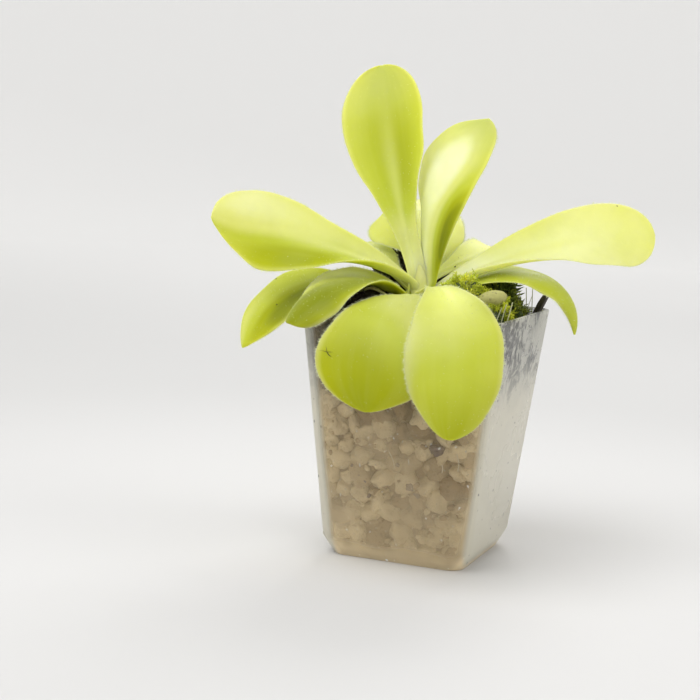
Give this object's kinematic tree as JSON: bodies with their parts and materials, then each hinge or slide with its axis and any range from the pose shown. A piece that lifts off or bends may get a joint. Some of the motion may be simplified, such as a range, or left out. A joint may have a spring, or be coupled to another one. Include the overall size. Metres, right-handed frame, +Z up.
{
  "type": "butterwort plant in a small square pot",
  "caption": "Carnivorous rosette plant with broad, arching, glandular leaves on a short crown, growing in peat over pumice in a clear square tapered pot with drain holes in its floor.",
  "frame": {"origin": "middle of the pot's foot, on the plane that the pot stands on", "axes": "+Z up, out of the pot; -Y towards the pot's front face; +X to the right of that face"},
  "size_m": [0.1122, 0.0826, 0.1321],
  "materials": {
    "pot_plastic": "satin",
    "pumice": "matte",
    "peat": "matte",
    "moss": "matte",
    "pebble": "matte",
    "bark": "matte",
    "leaf": "satin",
    "petiole": "satin",
    "dry_leaf": "matte"
  },
  "bodies": {
    "root": {"pot": "pot_plastic", "pumice_bed": "pumice", "peat_mound": "peat", "moss_right": "moss", "moss_back": "moss", "moss_by_stone": "moss", "peat_clump": "peat", "peat_clump_left": "peat", "tan_stone": "pebble", "bark_chip": "bark", "dry_leaf": "dry_leaf", "crown": "petiole", "leaf_front_left": "leaf", "leaf_front_right": "leaf", "leaf_left": "leaf", "leaf_left_inner": "leaf", "leaf_left_outer": "leaf", "leaf_right": "leaf", "leaf_right_arched": "leaf", "leaf_tall": "leaf", "leaf_upright_right": "leaf", "leaf_back_high": "leaf", "leaf_back_right": "leaf", "leaf_back_left_high": "leaf", "leaf_back_left_low": "leaf", "young_leaf": "leaf"}
  },
  "joints": []
}
